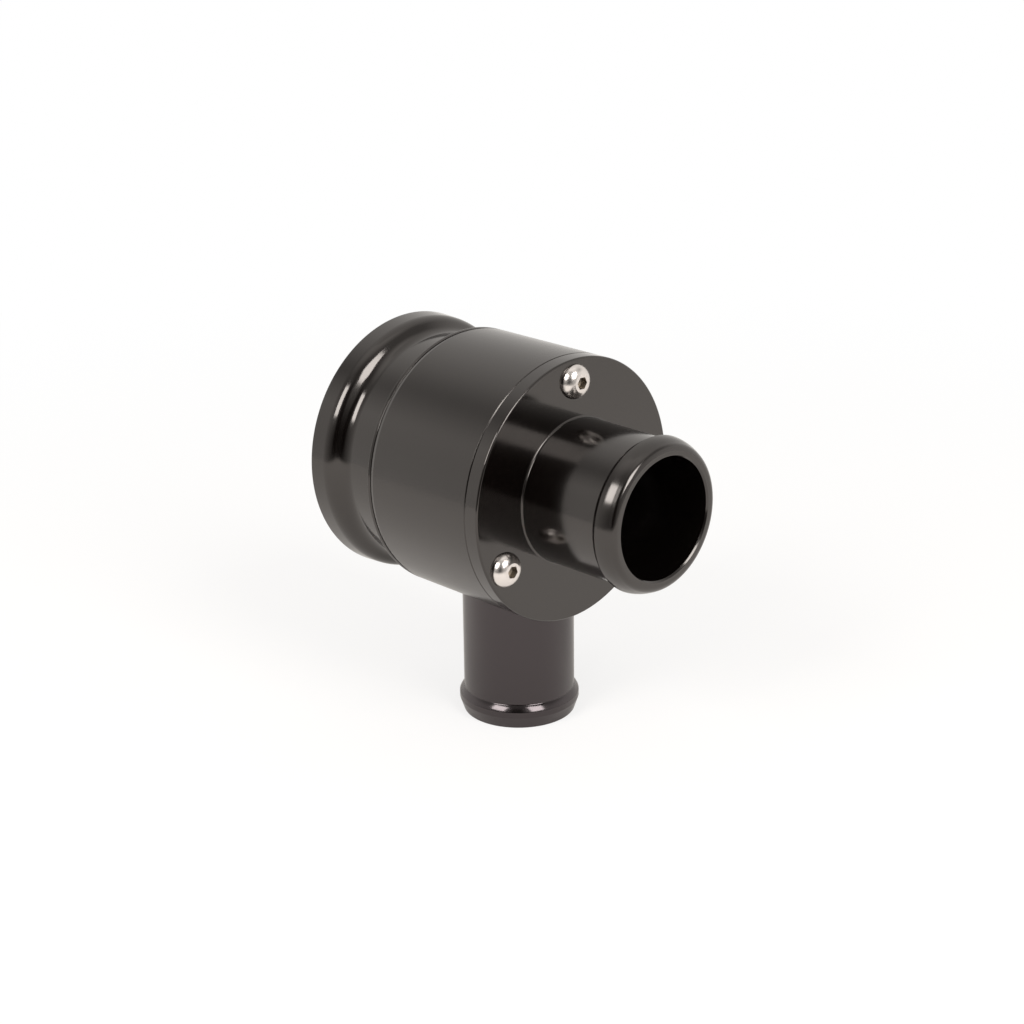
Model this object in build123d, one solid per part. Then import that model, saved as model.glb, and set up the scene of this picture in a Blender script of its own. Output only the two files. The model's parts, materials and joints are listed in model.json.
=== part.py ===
from build123d import *
from math import cos, radians, sin, sqrt, tan
import os

# Piston blow off valve with an axial inlet tail, a side outlet tail and a screwed rear cap.
# Millimetres, +Z up. The origin is the centre of the outlet's foot and the outlet's axis is Z.
# The main axis is parallel to X at axis_height: the inlet looks to +X, the rear cap to -X.
# Places along the main axis are measured from the outlet's axis.

# Inlet flange: a face plate, a hose tail in front and a register behind it, in one piece
inlet_bore_radius = 13.25
inlet_wall = 2.8
inlet_length = 25.75
inlet_root_fillet = 0.5
inlet_bead_length = 5.3
inlet_bead_height = 0.9
inlet_bead_edge = 0.2
inlet_crown_place = 2.55
inlet_crown_drop = 0.12
inlet_crown_round = 9.5
inlet_nose_drop = 1.46
inlet_nose_round = 1.1
inlet_mouth_chamfer = 0.35
plate_thickness = 3.45
plate_front_chamfer = 0.35
joint_chamfer = 0.2
register_fit = 0.05
seat_ridge_offset = 1.4
seat_ridge_width = 0.9
seat_ridge_height = 0.4

# Outlet spigot: a tube with a hose bead at its foot, let into the side of the body
outlet_bore_radius = 10.25
outlet_wall = 2.25
outlet_length = 27.0
outlet_foot_swell = 0.1
outlet_foot_round = 0.3
outlet_bead_height = 1.05
outlet_bead_bottom = 2.8
outlet_bead_top = 4.1
outlet_bead_back = 1.5
outlet_bead_round = 0.7
outlet_mouth_chamfer = 0.4
outlet_fit = 0.05
outlet_seat_web = 0.5
port_step = 0.25
port_margin = 0.1

# Body: a turned drum with a through chamber
chamber_space = 3.5
body_front_web = 1.7
body_rear_web = 3.0
body_rear_chamfer = 0.2
body_rear_chamfer_length = 0.35

# Face screws: button heads on one pitch circle
screw_wall = 4.4
screw_rim = 4.9
screw_angles = {"top": 90.0, "left": 210.0, "right": 330.0}
socket_turns = {"top": 26.0, "left": 17.0, "right": 8.0}
screw_radius = 2.0
screw_thread_fit = 0.05
screw_hole_clearance = 0.25
screw_length = 10.0
screw_tip_chamfer = 0.5
tapped_depth = 8.5
drill_point_angle = 118.0
head_radius = 3.8
head_height = 2.2
head_rim = 0.45
head_top_radius = 2.0
head_crown_rise = 0.3
socket_flats = 2.5
socket_depth = 1.4

# Rear cap: a threaded plug, a fine gap, a collar, a neck and a rim on a rounded shoulder
plug_nose_wall = 1.4
plug_nose_length = 1.5
plug_nose_gap = 0.07
plug_ring_space = 1.1
thread_fit = 0.1
cap_gap = 0.2
cap_gap_depth = 2.1
collar_length = 0.9
neck_step = 3.15
neck_length = 10.32
shoulder_length = 2.65
shoulder_round = 3.5
rim_step = 0.25
rim_slope = 0.25
rim_length = 5.63
rim_chamfer = 0.45
cylinder_chamfer = 0.5
stroke = 10.0
stop_gap = 0.1
rear_land = 6.5
rear_recess_depth = 1.0
rear_recess_round = 0.8
spring_boss_gap = 2.3
spring_boss_height = 2.6
spring_boss_chamfer = 0.5

# Vacuum nipple: thread, hexagon and a barbed hose tail, in one piece
nipple_thread_radius = 4.0
nipple_thread_fit = 0.05
nipple_thread_setback = 0.4
nipple_bore_radius = 1.5
nipple_hex_flats = 12.0
nipple_hex_length = 4.5
nipple_hex_chamfer = 0.3
nipple_stem_radius = 2.6
nipple_stem_length = 4.0
nipple_barb_height = 0.5
nipple_barb_taper = 0.9
nipple_barb_pitch = 3.6
nipple_barb_count = 3
washer_thickness = 1.0
washer_width = 2.2
washer_fit = 0.15

# Piston: a stepped cup that slides along the main axis and opens towards -X
seat_gap = 0.1
nose_rim = 0.8
nose_chamfer = 0.5
nose_wall = 3.0
piston_face_wall = 3.0
face_recess_margin = 2.0
face_recess_depth = 0.8
face_seal_width = 2.0
face_seal_depth = 1.6
face_seal_fit = 0.05
skirt_setback = 0.2
skirt_slope = 0.8
skirt_clearance = 0.2
skirt_wall = 3.4
skirt_edge = 0.4
skirt_relief_depth = 5.5
skirt_land = 0.8

# Guide bands and sealing rings
band_width = 2.0
band_depth = 1.0
band_fit = 0.05
ring_side_space = 0.3
ring_gap = 0.05
piston_ring_section = 0.85
flange_ring_section = 0.55
plug_ring_section = 0.5
outlet_ring_section = 0.7
outlet_ring_margin = 1.0

# Coil spring and its two seat washers
wire_radius = 1.0
coil_gap = 1.6
active_turns = 5
end_turn_gain = 0.06
spring_seat_thickness = 0.8
spring_seat_fit = 0.3
spring_end_gap = 0.02

# Radii about the main axis, worked out from the sizes above
inlet_tube_radius = inlet_bore_radius + inlet_wall
ridge_radius = inlet_bore_radius + seat_ridge_offset
seal_inner_radius = ridge_radius - face_seal_width / 2
seal_outer_radius = ridge_radius + face_seal_width / 2
nose_radius = seal_outer_radius + nose_rim
cup_radius = nose_radius - nose_wall
chamber_radius = nose_radius + chamber_space
register_radius = chamber_radius - register_fit
screw_circle_radius = chamber_radius + screw_wall
body_radius = screw_circle_radius + screw_rim
skirt_radius = chamber_radius - skirt_clearance
plug_nose_radius = chamber_radius + plug_nose_wall
plug_bore_radius = plug_nose_radius + plug_ring_space
coil_radius = cup_radius - coil_gap - wire_radius
spring_boss_radius = coil_radius - wire_radius - spring_boss_gap
spring_seat_inner = spring_boss_radius + spring_seat_fit
spring_seat_outer = cup_radius - spring_seat_fit
nipple_hole_radius = nipple_thread_radius + nipple_thread_fit

# Heights, worked out from the sizes above
outlet_tube_radius = outlet_bore_radius + outlet_wall
port_radius = outlet_bore_radius + port_step
axis_height = outlet_length + body_radius
outlet_top = axis_height - plug_bore_radius - outlet_seat_web
main_axis = Axis((0, 0, axis_height), (1, 0, 0))

# Places along the main axis, worked out from the sizes above
body_front = outlet_tube_radius + body_front_web
body_rear = -outlet_tube_radius - body_rear_web
plate_front = body_front + plate_thickness
inlet_mouth = plate_front + inlet_length
seat_face = port_radius + port_margin
ridge_face = seat_face - seat_ridge_height
piston_face = ridge_face - seat_gap
cup_bottom = piston_face - piston_face_wall
plug_shoulder = -port_radius - port_margin
plug_end = plug_shoulder - plug_nose_gap
skirt_front = plug_end - skirt_setback
piston_ring_width = 2 * (piston_ring_section + ring_side_space)
front_band_start = skirt_front - skirt_slope - skirt_land
piston_ring_start = front_band_start - band_width - skirt_land
rear_band_start = piston_ring_start - piston_ring_width - skirt_land
piston_rear = rear_band_start - band_width - skirt_land
cylinder_end = piston_rear - stroke - stop_gap
collar_front = body_rear - cap_gap
neck_front = collar_front - collar_length
neck_rear = neck_front - neck_length
rim_front = neck_rear - shoulder_length
cap_rear = rim_front - rim_length
nipple_seat = cap_rear + rear_recess_depth
hex_front = nipple_seat - washer_thickness
spring_front = cup_bottom - spring_seat_thickness - spring_end_gap
spring_rear = cylinder_end + spring_seat_thickness + spring_end_gap


def outline(corners):
    """Closed face through (x, y) corners; a third value rounds its corner."""
    rounds = [corner[2] if len(corner) > 2 else 0 for corner in corners]
    return make_face(FilletPolyline(*[corner[:2] for corner in corners], radius=rounds, close=True))


def turned(corners):
    """Solid turned about the main axis from (place, radius) corners."""
    return revolve(Plane.XZ * Pos(0, axis_height) * outline(corners), axis=main_axis)


def turned_upright(corners):
    """Solid turned about the Z axis from (radius, height) corners."""
    return revolve(Plane.XZ * outline(corners), axis=Axis.Z)


def ring(place, radius, section):
    """Sealing ring about the main axis, with its round section centred at a place and a radius."""
    return revolve(Plane.XZ * Pos(place, axis_height + radius) * Circle(section), axis=main_axis)


def hexagon(flats, height):
    """Upright hexagonal prism on the XY plane, from its width across flats."""
    return extrude(RegularPolygon(flats / sqrt(3), 6), height)


def looking_forward(place, radius=0, angle=0):
    """Plane that looks to +X, at a place along the main axis and a polar place across it."""
    y = radius * cos(radians(angle))
    z = axis_height + radius * sin(radians(angle))
    return Plane(origin=(place, y, z), x_dir=(0, 1, 0), z_dir=(1, 0, 0))


def upright_hole(radius, top):
    """Cylinder about the Z axis from the floor to a height."""
    return Cylinder(radius, top, align=(Align.CENTER, Align.CENTER, Align.MIN))


def body():
    """Drum with the chamber, the cap's threaded bore, the outlet's seat and tapped holes."""
    drum = turned([
        (body_front, chamber_radius),
        (body_front, body_radius - joint_chamfer),
        (body_front - joint_chamfer, body_radius),
        (body_rear + body_rear_chamfer_length, body_radius),
        (body_rear, body_radius - body_rear_chamfer),
        (body_rear, plug_bore_radius),
        (plug_shoulder, plug_bore_radius),
        (plug_shoulder, chamber_radius),
    ])
    drum -= upright_hole(port_radius, axis_height)
    drum -= upright_hole(outlet_tube_radius + outlet_fit, outlet_top)
    for angle in screw_angles.values():
        drum -= looking_forward(body_front, screw_circle_radius, angle) * tapped_hole()
    return drum


def tapped_hole():
    """Blind tapped hole with its drill point, going down from the XY plane."""
    radius = screw_radius + screw_thread_fit
    point = radius / tan(radians(drill_point_angle / 2))
    return turned_upright([(0, 0), (radius, 0), (radius, -tapped_depth), (0, -tapped_depth - point)])


def inlet_flange():
    """Face plate with the inlet's hose tail in front and the grooved register behind."""
    groove_half = flange_ring_section + ring_side_space
    groove_centre = (body_front + seat_face) / 2
    groove_radius = register_radius - 2 * flange_ring_section - ring_gap
    bead_start = inlet_mouth - inlet_bead_length
    bead_radius = inlet_tube_radius + inlet_bead_height
    flange = turned([
        (inlet_mouth, inlet_bore_radius + inlet_mouth_chamfer),
        (inlet_mouth, bead_radius - inlet_nose_drop, inlet_nose_round),
        (bead_start + inlet_crown_place, bead_radius - inlet_crown_drop, inlet_crown_round),
        (bead_start + inlet_bead_edge, bead_radius),
        (bead_start, bead_radius - inlet_bead_edge),
        (bead_start, inlet_tube_radius),
        (plate_front, inlet_tube_radius, inlet_root_fillet),
        (plate_front, body_radius - plate_front_chamfer),
        (plate_front - plate_front_chamfer, body_radius),
        (body_front + joint_chamfer, body_radius),
        (body_front, body_radius - joint_chamfer),
        (body_front, register_radius),
        (groove_centre + groove_half, register_radius),
        (groove_centre + groove_half, groove_radius),
        (groove_centre - groove_half, groove_radius),
        (groove_centre - groove_half, register_radius),
        (seat_face, register_radius),
        (seat_face, ridge_radius + seat_ridge_width / 2),
        (ridge_face, ridge_radius + seat_ridge_width / 2),
        (ridge_face, ridge_radius - seat_ridge_width / 2),
        (seat_face, ridge_radius - seat_ridge_width / 2),
        (seat_face, inlet_bore_radius),
        (inlet_mouth - inlet_mouth_chamfer, inlet_bore_radius),
    ])
    for angle in screw_angles.values():
        hole = Cylinder(screw_radius + screw_hole_clearance, 2 * plate_thickness)
        flange -= looking_forward(plate_front, screw_circle_radius, angle) * hole
    return flange


def flange_o_ring():
    """Sealing ring in the register's groove."""
    radius = register_radius - flange_ring_section
    return ring((body_front + seat_face) / 2, radius, flange_ring_section)


def outlet_spigot():
    """Outlet tube with its hose bead at the foot and its end let into the body."""
    groove_top = outlet_top - outlet_ring_margin
    groove_bottom = groove_top - 2 * (outlet_ring_section + ring_side_space)
    groove_radius = outlet_tube_radius - 2 * outlet_ring_section - ring_gap
    bead_radius = outlet_tube_radius + outlet_bead_height
    return turned_upright([
        (outlet_bore_radius + outlet_mouth_chamfer, 0),
        (outlet_tube_radius + outlet_foot_swell, 0, outlet_foot_round),
        (bead_radius, outlet_bead_bottom, outlet_bead_round),
        (bead_radius, outlet_bead_top, outlet_bead_round),
        (outlet_tube_radius, outlet_bead_top + outlet_bead_back, outlet_bead_round),
        (outlet_tube_radius, groove_bottom),
        (groove_radius, groove_bottom),
        (groove_radius, groove_top),
        (outlet_tube_radius, groove_top),
        (outlet_tube_radius, outlet_top),
        (outlet_bore_radius, outlet_top),
        (outlet_bore_radius, outlet_mouth_chamfer),
    ])


def outlet_o_ring():
    """Sealing ring near the outlet spigot's inner end."""
    height = outlet_top - outlet_ring_margin - outlet_ring_section - ring_side_space
    radius = outlet_tube_radius - outlet_ring_section
    return revolve(Plane.XZ * Pos(radius, height) * Circle(outlet_ring_section), axis=Axis.Z)


def rear_cap():
    """Cap with the plug, the piston's cylinder, the grip's neck and rim, and the nipple's seat."""
    plug_thread_radius = plug_bore_radius - thread_fit
    plug_step = plug_end - plug_nose_length
    gap_radius = body_radius - cap_gap_depth
    neck_radius = body_radius - neck_step
    rim_radius = body_radius + rim_step
    recess_radius = rim_radius - rear_land
    boss_face = cylinder_end + spring_boss_height
    return turned([
        (plug_end, chamber_radius + cylinder_chamfer),
        (plug_end, plug_nose_radius),
        (plug_step, plug_nose_radius),
        (plug_step, plug_thread_radius),
        (body_rear, plug_thread_radius),
        (body_rear, gap_radius),
        (collar_front, gap_radius),
        (collar_front, body_radius - joint_chamfer),
        (collar_front - joint_chamfer, body_radius),
        (neck_front + joint_chamfer, body_radius),
        (neck_front, body_radius - joint_chamfer),
        (neck_front, neck_radius),
        (neck_rear, neck_radius, shoulder_round),
        (rim_front, rim_radius - rim_slope, shoulder_round),
        (cap_rear + rim_chamfer, rim_radius),
        (cap_rear, rim_radius - rim_chamfer),
        (cap_rear, recess_radius),
        (nipple_seat, recess_radius, rear_recess_round),
        (nipple_seat, nipple_hole_radius),
        (boss_face, nipple_hole_radius),
        (boss_face, spring_boss_radius - spring_boss_chamfer),
        (boss_face - spring_boss_chamfer, spring_boss_radius),
        (cylinder_end, spring_boss_radius),
        (cylinder_end, chamber_radius),
        (plug_end - cylinder_chamfer, chamber_radius),
    ])


def cap_o_ring():
    """Sealing ring on the plug's nose, at the shoulder of the body's threaded bore."""
    radius = plug_nose_radius + plug_ring_space / 2
    return ring(plug_end - plug_nose_length / 2, radius, plug_ring_section)


def vacuum_nipple():
    """Hose nipple in the cap's centre: thread, hexagon and barbed tail with a through bore."""
    thread_end = cylinder_end + spring_boss_height - nipple_thread_setback
    hex_rear = hex_front - nipple_hex_length
    corner_radius = nipple_hex_flats / sqrt(3)
    corners = [
        (thread_end, nipple_bore_radius),
        (thread_end, nipple_thread_radius),
        (hex_front, nipple_thread_radius),
        (hex_rear, nipple_thread_radius),
        (hex_rear, nipple_stem_radius),
    ]
    barb_start = hex_rear - nipple_stem_length
    for _ in range(nipple_barb_count):
        barb_end = barb_start - nipple_barb_pitch
        barb_radius = nipple_stem_radius + nipple_barb_height
        corners += [
            (barb_start, nipple_stem_radius),
            (barb_start, barb_radius),
            (barb_end, barb_radius - nipple_barb_taper),
        ]
        barb_start = barb_end
    corners.append((barb_start, nipple_bore_radius))
    chamfered = turned([
        (hex_front, nipple_bore_radius),
        (hex_front, nipple_hex_flats / 2),
        (hex_front - nipple_hex_chamfer, corner_radius),
        (hex_rear + nipple_hex_chamfer, corner_radius),
        (hex_rear, nipple_hex_flats / 2),
        (hex_rear, nipple_bore_radius),
    ])
    prism = looking_forward(hex_rear) * hexagon(nipple_hex_flats, nipple_hex_length)
    return turned(corners) + (prism & chamfered)


def nipple_washer():
    """Sealing washer between the nipple's hexagon and the cap."""
    inner = nipple_thread_radius + washer_fit
    return turned([
        (nipple_seat, inner),
        (nipple_seat, inner + washer_width),
        (hex_front, inner + washer_width),
        (hex_front, inner),
    ])


def piston():
    """Stepped cup: the nose closes the seat and the grooved skirt runs in the cap's cylinder."""
    band_radius = skirt_radius - band_depth
    ring_radius = chamber_radius - 2 * piston_ring_section - 2 * ring_gap
    relief_radius = skirt_radius - skirt_wall
    recess_radius = inlet_bore_radius - face_recess_margin
    corners = [
        (piston_face - face_recess_depth, 0),
        (piston_face - face_recess_depth, recess_radius - face_recess_depth),
        (piston_face, recess_radius),
        (piston_face, seal_inner_radius),
        (piston_face - face_seal_depth, seal_inner_radius),
        (piston_face - face_seal_depth, seal_outer_radius),
        (piston_face, seal_outer_radius),
        (piston_face, nose_radius - nose_chamfer),
        (piston_face - nose_chamfer, nose_radius),
        (skirt_front, nose_radius),
        (skirt_front - skirt_slope, skirt_radius),
    ]
    grooves = (
        (front_band_start, band_width, band_radius),
        (piston_ring_start, piston_ring_width, ring_radius),
        (rear_band_start, band_width, band_radius),
    )
    for start, width, radius in grooves:
        corners += [
            (start, skirt_radius),
            (start, radius),
            (start - width, radius),
            (start - width, skirt_radius),
        ]
    corners += [
        (piston_rear + skirt_edge, skirt_radius),
        (piston_rear, skirt_radius - skirt_edge),
        (piston_rear, relief_radius),
        (piston_rear + skirt_relief_depth, relief_radius),
        (piston_rear + skirt_relief_depth, cup_radius),
        (cup_bottom, cup_radius),
        (cup_bottom, 0),
    ]
    return turned(corners)


def piston_face_seal():
    """Flat sealing ring set in the piston's face, opposite the seat ridge."""
    return turned([
        (piston_face, seal_inner_radius + face_seal_fit),
        (piston_face, seal_outer_radius - face_seal_fit),
        (piston_face - face_seal_depth, seal_outer_radius - face_seal_fit),
        (piston_face - face_seal_depth, seal_inner_radius + face_seal_fit),
    ])


def piston_o_ring():
    """Sealing ring in the middle groove of the skirt."""
    radius = chamber_radius - ring_gap - piston_ring_section
    return ring(piston_ring_start - piston_ring_width / 2, radius, piston_ring_section)


def guide_band(start):
    """Slippery band in the skirt's groove that starts at a place."""
    inner = skirt_radius - band_depth + band_fit
    outer = chamber_radius - band_fit
    return turned([
        (start - band_fit, inner),
        (start - band_fit, outer),
        (start - band_width + band_fit, outer),
        (start - band_width + band_fit, inner),
    ])


def spring_seat(place):
    """Thin steel washer under one end of the spring, from a place towards +X."""
    return turned([
        (place, spring_seat_inner),
        (place, spring_seat_outer),
        (place + spring_seat_thickness, spring_seat_outer),
        (place + spring_seat_thickness, spring_seat_inner),
    ])


def coil(start, turns, pitch):
    """A stretch of coil about the main axis, from a place towards +X, with a ball at its start."""
    path = Helix(pitch, pitch * turns, coil_radius)
    section = Plane(origin=path @ 0, z_dir=path % 0) * Circle(wire_radius)
    ball = Pos(path @ 0) * Sphere(wire_radius)
    return looking_forward(start) * (sweep(section, path=path, is_frenet=True) + ball)


def spring():
    """Compression spring with a closed, ground turn at each end."""
    end_pitch = 2 * wire_radius + end_turn_gain
    active_start = spring_rear + wire_radius / 2 + end_pitch
    active_end = spring_front - wire_radius / 2 - end_pitch
    wire = coil(active_start - end_pitch, 1, end_pitch)
    wire += coil(active_start, active_turns, (active_end - active_start) / active_turns)
    wire += coil(active_end, 1, end_pitch)
    reach = coil_radius + 2 * wire_radius
    return wire & turned([(spring_rear, 0), (spring_rear, reach), (spring_front, reach), (spring_front, 0)])


def face_screw(angle, turn):
    """Button head screw with its hexagon socket, seated on the face plate."""
    dome_middle = ((head_radius + head_top_radius) / 2 + head_crown_rise,
                   (head_rim + head_height) / 2 + head_crown_rise)
    edge = Polyline(
        (head_top_radius, head_height),
        (0, head_height),
        (0, -screw_length),
        (screw_radius - screw_tip_chamfer, -screw_length),
        (screw_radius, screw_tip_chamfer - screw_length),
        (screw_radius, 0),
        (head_radius, 0),
        (head_radius, head_rim),
    )
    dome = ThreePointArc((head_radius, head_rim), dome_middle, (head_top_radius, head_height))
    blank = revolve(Plane.XZ * make_face(edge + dome), axis=Axis.Z)
    socket = Pos(0, 0, head_height - socket_depth) * Rot(0, 0, turn) * hexagon(socket_flats, head_height)
    return looking_forward(plate_front, screw_circle_radius, angle) * (blank - socket)


def pieces():
    """Every piece of the valve by its node name."""
    solids = {
        "body": body(),
        "inlet_flange": inlet_flange(),
        "flange_o_ring": flange_o_ring(),
        "outlet_spigot": outlet_spigot(),
        "outlet_o_ring": outlet_o_ring(),
        "rear_cap": rear_cap(),
        "cap_o_ring": cap_o_ring(),
        "vacuum_nipple": vacuum_nipple(),
        "nipple_washer": nipple_washer(),
        "piston": piston(),
        "piston_face_seal": piston_face_seal(),
        "piston_o_ring": piston_o_ring(),
        "front_guide_band": guide_band(front_band_start),
        "rear_guide_band": guide_band(rear_band_start),
        "spring": spring(),
        "piston_spring_seat": spring_seat(cup_bottom - spring_seat_thickness),
        "cap_spring_seat": spring_seat(cylinder_end),
    }
    for place, angle in screw_angles.items():
        solids["face_screw_" + place] = face_screw(angle, socket_turns[place])
    return solids


os.makedirs("parts", exist_ok=True)
for node, solid in pieces().items():
    export_step(solid, "parts/" + node + ".step")
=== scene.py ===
"""Looks of a piston blow off valve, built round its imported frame.

The turned pieces that show are swept again from their sections, fine enough for clean reflections.
The inner pieces keep the frame's own meshes and get finishes. Lengths are in metres.
"""
import json
import logging
from dataclasses import dataclass
from enum import Enum
from math import atan2, ceil, cos, degrees, hypot, pi, radians, sin, sqrt, tan

import bmesh
import bpy
from mathutils import Matrix, Vector

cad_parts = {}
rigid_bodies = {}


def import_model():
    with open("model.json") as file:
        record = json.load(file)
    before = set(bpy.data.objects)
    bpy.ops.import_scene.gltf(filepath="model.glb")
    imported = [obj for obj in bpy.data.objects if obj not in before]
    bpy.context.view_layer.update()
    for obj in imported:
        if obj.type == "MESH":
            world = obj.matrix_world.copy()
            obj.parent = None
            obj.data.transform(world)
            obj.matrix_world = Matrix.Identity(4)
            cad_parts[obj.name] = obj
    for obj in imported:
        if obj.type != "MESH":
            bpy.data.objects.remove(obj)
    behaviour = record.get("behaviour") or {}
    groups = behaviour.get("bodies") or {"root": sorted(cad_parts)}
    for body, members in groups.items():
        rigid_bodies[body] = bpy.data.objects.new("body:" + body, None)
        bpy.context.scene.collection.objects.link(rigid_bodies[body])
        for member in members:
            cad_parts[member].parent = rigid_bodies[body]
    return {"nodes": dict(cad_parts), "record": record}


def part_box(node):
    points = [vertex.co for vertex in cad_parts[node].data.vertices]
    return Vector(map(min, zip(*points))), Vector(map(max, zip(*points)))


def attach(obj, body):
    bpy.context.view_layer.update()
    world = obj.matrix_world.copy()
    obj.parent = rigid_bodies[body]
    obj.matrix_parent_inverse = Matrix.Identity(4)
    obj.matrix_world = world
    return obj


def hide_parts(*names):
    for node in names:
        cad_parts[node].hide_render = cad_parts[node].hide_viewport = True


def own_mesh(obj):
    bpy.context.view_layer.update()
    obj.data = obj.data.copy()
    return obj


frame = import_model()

log = logging.getLogger("blow_off_valve")

MM = 0.001
HOUSING = "housing"
RGBA = tuple[float, float, float, float]
Pair = tuple[float, float]
Corner = tuple[float, ...]
Marks = tuple[Pair, ...]
Socket = bpy.types.NodeSocket
Group = bpy.types.NodeTree
Object = bpy.types.Object
Looks = dict[str, bpy.types.Material]


class Slot(Enum):
    """The record's material slots; each new piece is passed one, which is not used."""

    BLACK = "black_anodised"
    STAINLESS = "stainless_steel"
    SPRING = "spring_steel"
    BRASS = "nipple_brass"


@dataclass(frozen=True)
class Measures:
    """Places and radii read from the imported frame."""

    axis_height: float
    body_radius: float
    body_front: float
    body_rear: float
    inlet_mouth: float
    inlet_bore: float
    ridge_face: float
    plug_end: float
    cap_rear: float
    rim_radius: float
    outlet_bore: float
    outlet_top: float
    outlet_bead: float
    chamber: float
    cylinder_end: float

    BAND_FIT = 0.05 * MM

    @classmethod
    def read(cls) -> "Measures":
        """Reads the measures from the frame's boxes and mounts.

        Returns:
            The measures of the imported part.
        """
        body_low, body_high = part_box("body")
        flange_low, flange_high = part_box("inlet_flange")
        cap_low, cap_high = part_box("rear_cap")
        spigot_low, spigot_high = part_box("outlet_spigot")
        seat_low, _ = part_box("cap_spring_seat")
        band_low, band_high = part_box("front_guide_band")
        mounts = {mount["name"]: mount for mount in frame["record"]["mounts"]}
        return cls(
            axis_height=(body_low.z + body_high.z) / 2,
            body_radius=(body_high.z - body_low.z) / 2,
            body_front=body_high.x,
            body_rear=body_low.x,
            inlet_mouth=flange_high.x,
            inlet_bore=mounts["inlet_bore"]["dims"]["r_mm"] * MM,
            ridge_face=flange_low.x,
            plug_end=cap_high.x,
            cap_rear=cap_low.x,
            rim_radius=(cap_high.z - cap_low.z) / 2,
            outlet_bore=mounts["outlet_bore"]["dims"]["r_mm"] * MM,
            outlet_top=spigot_high.z,
            outlet_bead=(spigot_high.x - spigot_low.x) / 2,
            chamber=(band_high.z - band_low.z) / 2 + cls.BAND_FIT,
            cylinder_end=seat_low.x,
        )


@dataclass
class Section:
    """Outline of a turned piece as (place, radius) corners, with a third value for a corner's rounding."""

    corners: list[Corner]
    closed: bool = True
    edge_break: float = 0.08 * MM
    hold: float = 0.06 * MM
    step_angle: float = 11.0
    small_round: float = 0.2 * MM
    small_step_angle: float = 15.0
    least_turn: float = 1.0
    edge_share: float = 0.96

    def points(self) -> list[Pair]:
        """Rounds the corners and adds holding points beside each rounding.

        Returns:
            The outline's points in order.
        """
        places = [Vector(corner[:2]) for corner in self.corners]
        count = len(places)
        turns = [self._turn(places, index) for index in range(count)]
        wanted = [
            (corner[2] if len(corner) > 2 else self.edge_break) * tan(turn / 2)
            for corner, turn in zip(self.corners, turns)
        ]
        found: list[Pair] = []
        for index, here in enumerate(places):
            if turns[index] < radians(self.least_turn):
                found.append(tuple(here))
                continue
            back = places[index - 1] - here
            ahead = places[(index + 1) % count] - here
            reach = min(
                self._shared_out(back.length, wanted[index], wanted[index - 1]),
                self._shared_out(ahead.length, wanted[index], wanted[(index + 1) % count]),
            )
            found += self._rounded(here, back, ahead, turns[index], reach)
        return found

    def _turn(self, places: list[Vector], index: int) -> float:
        """How far the outline turns at a corner; an open outline's ends don't turn.

        Args:
            places: The outline's corners.
            index: The corner's number.

        Returns:
            The angle in radians.
        """
        count = len(places)
        if not self.closed and index in (0, count - 1):
            return 0.0
        here = places[index]
        return pi - (places[index - 1] - here).angle(places[(index + 1) % count] - here)

    def _shared_out(self, length: float, own: float, other: float) -> float:
        """How much of an edge one corner's rounding takes, where its other corner takes some as well."""
        both = own + other
        return own * min(1.0, self.edge_share * length / both) if both > 0 else 0.0

    def _rounded(self, here: Vector, back: Vector, ahead: Vector, turn: float, reach: float) -> list[Pair]:
        """Points of one rounded corner with its holding points.

        Args:
            here: The corner itself.
            back: The way to the corner before it.
            ahead: The way to the corner after it.
            turn: How far the outline turns here.
            reach: How far the rounding reaches along both edges.

        Returns:
            The points, first to last.
        """
        to_back, to_ahead = back.normalized(), ahead.normalized()
        radius = reach / tan(turn / 2)
        centre = here + (to_back + to_ahead).normalized() * (radius / cos(turn / 2))
        first, last = here + to_back * reach, here + to_ahead * reach
        step = self.step_angle if radius > self.small_round else max(self.step_angle, self.small_step_angle)
        arc = arc_points(centre, radius, first, last, max(2, ceil(degrees(turn) / step)))
        if back.length / 2 - reach > 2 * self.hold:
            arc.insert(0, tuple(here + to_back * (reach + self.hold)))
        if ahead.length / 2 - reach > 2 * self.hold:
            arc.append(tuple(here + to_ahead * (reach + self.hold)))
        return arc


def arc_points(centre: Vector, radius: float, first: Vector, last: Vector, steps: int) -> list[Pair]:
    """Points on the shorter arc between two points, both ends with them.

    Args:
        centre: The arc's centre.
        radius: The arc's radius.
        first: Where it starts.
        last: Where it ends.
        steps: How many spans it has.

    Returns:
        The points, first to last.
    """
    start = atan2(first.y - centre.y, first.x - centre.x)
    sweep = atan2(last.y - centre.y, last.x - centre.x) - start
    sweep = (sweep + pi) % (2 * pi) - pi
    angles = [start + sweep * k / steps for k in range(steps + 1)]
    return [(centre.x + radius * cos(angle), centre.y + radius * sin(angle)) for angle in angles]


def arc_between(start: Pair, end: Pair, rise: float, steps: int) -> list[Corner]:
    """Points strictly between two points on a shallow arc.

    Args:
        start: The arc's first point.
        end: The arc's last point.
        rise: The arc's height over its chord, to the left of the way.
        steps: How many spans the arc has.

    Returns:
        The points between the ends, unrounded.
    """
    first, last = Vector(start), Vector(end)
    chord = last - first
    side = Vector((-chord.y, chord.x)).normalized()
    half = chord.length / 2
    radius = (half * half + rise * rise) / (2 * rise)
    centre = first + chord / 2 + side * (rise - radius)
    return [(*point, 0.0) for point in arc_points(centre, radius, first, last, steps)[1:-1]]


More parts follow.
